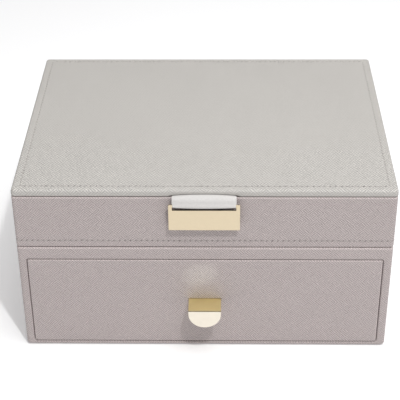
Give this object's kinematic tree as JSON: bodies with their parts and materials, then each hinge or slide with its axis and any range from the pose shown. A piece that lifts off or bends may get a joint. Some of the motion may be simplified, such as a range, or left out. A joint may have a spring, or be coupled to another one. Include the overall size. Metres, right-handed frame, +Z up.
{
  "type": "tiered jewelry box",
  "caption": "Stacking leatherette jewelry box: lidded tray with ring rolls and dividers over a drawer tier, with a brass drawer pull and a slotted lid tab.",
  "frame": {"origin": "centre of the felt base, on the plane that the box stands on", "axes": "+Z up, front (drawer and lid pull) towards -Y, +X to the right seen from the front"},
  "size_m": [0.25, 0.2064, 0.1285],
  "materials": {
    "leatherette": "fine cross-hatch grain, satin",
    "board": "plain fibreboard",
    "velvet": "short velvet",
    "felt": "matt felt",
    "plate_brass": "fine brushed, pale gold",
    "pull_brass": "polished",
    "hinge_brass": "satin",
    "webbing": "close plain weave"
  },
  "bodies": {
    "lower_case": {"felt_base": "felt", "lower_bottom_board": "board", "lower_left_board": "board", "lower_right_board": "board", "lower_back_board": "board", "lower_top_rail": "board", "lower_left_stile": "board", "lower_right_stile": "board", "deck_board": "board", "deck_cloth": "velvet", "bay_lining": "velvet", "lower_wrap": "leatherette"},
    "drawer": {"drawer_front_board": "board", "drawer_front_wrap": "leatherette", "drawer_front_facing": "velvet", "drawer_left_side": "velvet", "drawer_right_side": "velvet", "drawer_back": "velvet", "drawer_floor": "velvet", "drawer_lining": "velvet", "drawer_long_divider": "velvet", "drawer_cross_divider_1": "velvet", "drawer_cross_divider_2": "velvet", "drawer_pull": "pull_brass", "pull_rivet_left": "hinge_brass", "pull_rivet_right": "hinge_brass"},
    "upper_tier": {"tray_front_board": "board", "tray_back_board": "board", "tray_left_board": "board", "tray_right_board": "board", "tray_floor_board": "board", "tray_wrap": "leatherette", "tray_lining": "velvet", "tray_plinth": "board", "tray_plinth_felt": "felt", "ring_bay_divider": "velvet", "bracelet_divider": "velvet", "row_divider": "velvet", "cross_divider_1": "velvet", "cross_divider_2": "velvet", "ring_roll_1": "velvet", "ring_roll_2": "velvet", "ring_roll_3": "velvet", "ring_roll_4": "velvet", "ring_roll_5": "velvet", "hinge_left_tray_leaf": "hinge_brass", "hinge_left_pin": "hinge_brass", "hinge_right_tray_leaf": "hinge_brass", "hinge_right_pin": "hinge_brass"},
    "lid": {"lid_board": "board", "lid_wrap": "leatherette", "lid_liner_board": "board", "lid_pad": "velvet", "hinge_left_lid_leaf": "hinge_brass", "hinge_right_lid_leaf": "hinge_brass", "pull_strap_tail": "webbing"},
    "lid_loop": {"pull_loop": "webbing"},
    "lid_plate": {"pull_plate": "plate_brass"}
  },
  "joints": [
    {"name": "drawer_slide", "type": "slide", "parent": "lower_case", "child": "drawer", "axis": [0, -1, 0], "range_m": [0, 0.15]},
    {"name": "upper_tier_lift", "type": "slide", "parent": "lower_case", "child": "upper_tier", "axis": [0, 0, 1], "range_m": [0, 0.04]},
    {"name": "lid_hinge", "type": "hinge", "parent": "upper_tier", "child": "lid", "pos_m": [0, 0.0956, 0.1234], "axis": [-1, 0, 0], "range_deg": [0, 100]},
    {"name": "pull_loop_swing", "type": "hinge", "parent": "lid", "child": "lid_loop", "pos_m": [0, -0.096, 0.1246], "axis": [-1, 0, 0], "range_deg": [0, 70]},
    {"name": "pull_plate_swing", "type": "hinge", "parent": "lid_loop", "child": "lid_plate", "pos_m": [0, -0.099, 0.11934], "axis": [-1, 0, 0], "range_deg": [-8, 70]}
  ]
}
